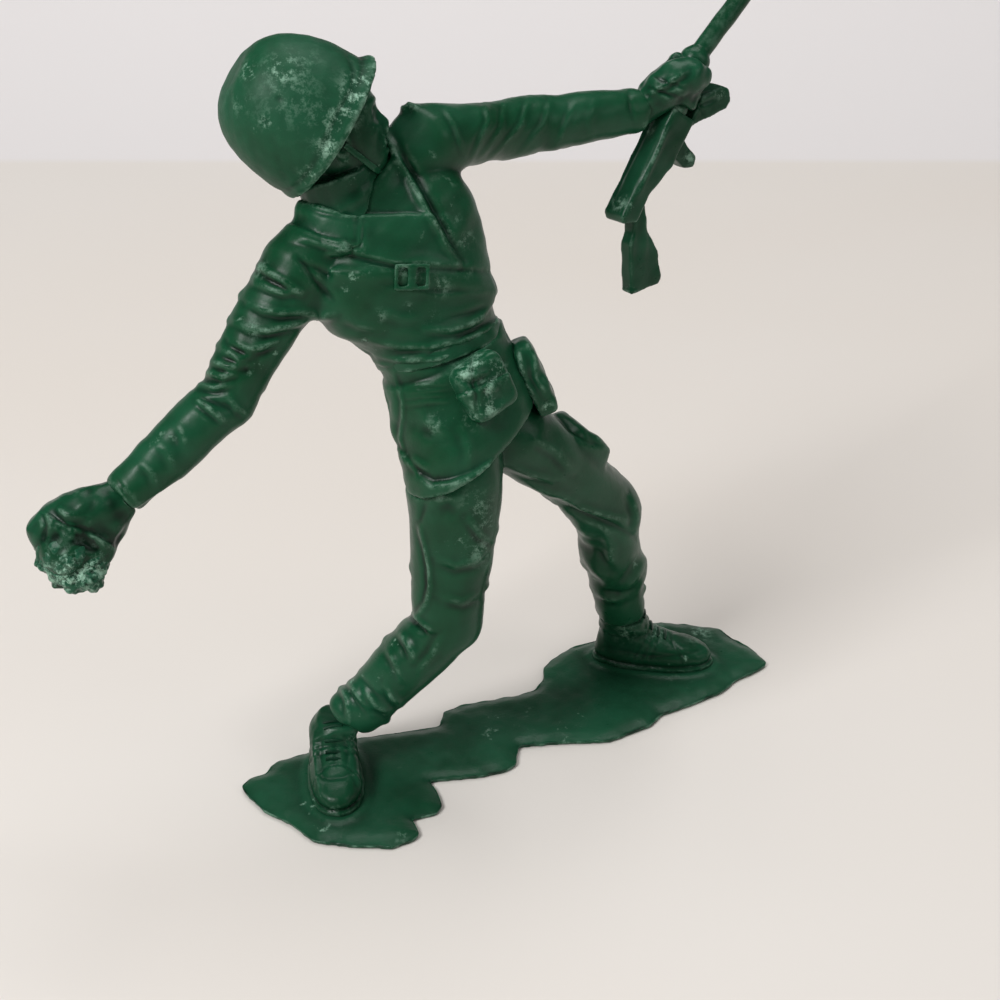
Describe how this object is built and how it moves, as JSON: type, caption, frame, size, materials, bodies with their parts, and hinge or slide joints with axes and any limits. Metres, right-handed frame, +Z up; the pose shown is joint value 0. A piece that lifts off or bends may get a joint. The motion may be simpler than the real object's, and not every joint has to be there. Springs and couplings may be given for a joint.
{
  "type": "toy soldier figure",
  "caption": "Toy soldier in dark green soft plastic, leaning back to throw a grenade, with a short gun in its other hand, on a thin ragged base.",
  "frame": {"origin": "midway between the two ankles, on the underside of the base", "axes": "+Z up, +Y away from the side that the chest faces, +X towards the straight front leg and the hand with the gun"},
  "size_m": [0.1426, 0.093, 0.1491],
  "materials": {
    "base_plastic": "satin",
    "boot_plastic": "satin",
    "skin_plastic": "satin",
    "helmet_plastic": "satin",
    "weapon_plastic": "satin",
    "gear_plastic": "satin",
    "cloth_plastic": "satin"
  },
  "bodies": {
    "root": {"base": "base_plastic", "boot_sole_right": "boot_plastic", "boot_sole_left": "boot_plastic", "boot_right": "boot_plastic", "boot_left": "boot_plastic", "lower_leg_right": "cloth_plastic", "lower_leg_left": "cloth_plastic", "thigh_right": "cloth_plastic", "thigh_left": "cloth_plastic", "thigh_pocket_left": "cloth_plastic", "jacket_skirt": "cloth_plastic", "belt": "gear_plastic", "jacket_body": "cloth_plastic", "chest_strap": "gear_plastic", "strap_buckle": "gear_plastic", "harness_strap_left": "gear_plastic", "collar": "cloth_plastic", "neck": "skin_plastic", "head": "skin_plastic", "helmet": "helmet_plastic", "chin_strap": "gear_plastic", "upper_sleeve_right": "cloth_plastic", "lower_sleeve_right": "cloth_plastic", "hand_right": "skin_plastic", "grenade": "weapon_plastic", "upper_sleeve_left": "cloth_plastic", "lower_sleeve_left": "cloth_plastic", "hand_left": "skin_plastic", "gun_receiver": "weapon_plastic", "gun_barrel": "weapon_plastic", "gun_stock": "weapon_plastic", "gun_magazine": "weapon_plastic", "gun_grip": "weapon_plastic", "ammo_pouch": "gear_plastic", "canteen": "gear_plastic", "hip_bag": "gear_plastic"}
  },
  "joints": []
}
